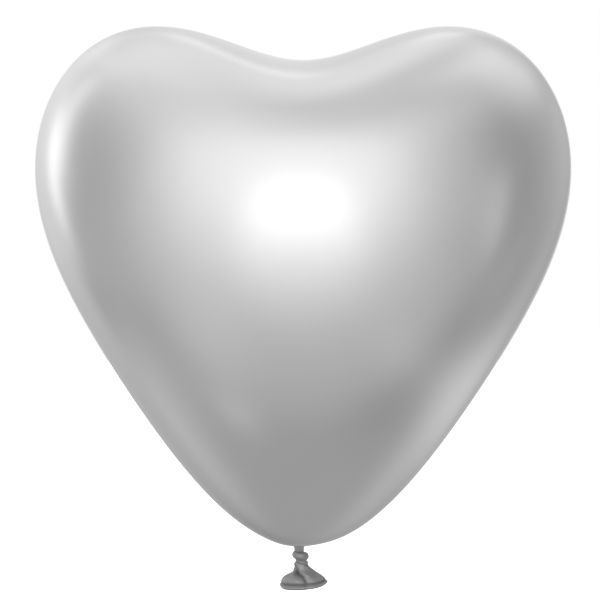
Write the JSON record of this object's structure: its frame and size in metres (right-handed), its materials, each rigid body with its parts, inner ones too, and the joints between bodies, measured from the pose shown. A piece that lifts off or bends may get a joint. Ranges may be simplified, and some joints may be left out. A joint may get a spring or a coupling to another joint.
{
  "type": "heart-shaped balloon",
  "caption": "Inflated heart-shaped latex balloon with a silver mirror finish, a knotted neck and a short flared tail. The bag leans on its throat and the tail swings.",
  "frame": {"origin": "middle of the throat, on the axis of the groove between the bag and its knot, where a ribbon or clip holds the balloon", "axes": "+Z from the throat up towards the cleft, -Y towards the front, +X to the right as seen from the front"},
  "size_m": [0.3004, 0.1862, 0.3158],
  "materials": {
    "bag_film": "satin",
    "gathered_film": "satin",
    "knot_film": "satin",
    "tail_film": "satin"
  },
  "bodies": {
    "knot": {"throat": "gathered_film", "knot_turn": "knot_film", "knot_tuck": "knot_film"},
    "collar": {"gather_collar": "gathered_film"},
    "heart": {"heart_skin": "bag_film"},
    "bunch": {"tail_bunch": "tail_film"},
    "tail": {"tail_skirt": "tail_film", "rolled_lip": "tail_film"}
  },
  "joints": [
    {"name": "heart_nod", "type": "hinge", "parent": "knot", "child": "collar", "pos_m": [0, 0, 0.0012], "axis": [1, 0, 0], "range_deg": [-25, 25], "stiffness_Nm_per_rad": 0.03},
    {"name": "heart_sway", "type": "hinge", "parent": "collar", "child": "heart", "pos_m": [0, 0, 0.0012], "axis": [0, 1, 0], "range_deg": [-25, 25], "stiffness_Nm_per_rad": 0.03},
    {"name": "tail_sway", "type": "hinge", "parent": "knot", "child": "bunch", "pos_m": [0.001, 0, -0.011], "axis": [0, 1, 0], "range_deg": [-30, 30], "stiffness_Nm_per_rad": 0.001},
    {"name": "tail_flap", "type": "hinge", "parent": "bunch", "child": "tail", "pos_m": [0.001, 0, -0.011], "axis": [1, 0, 0], "range_deg": [-30, 30], "stiffness_Nm_per_rad": 0.001}
  ]
}
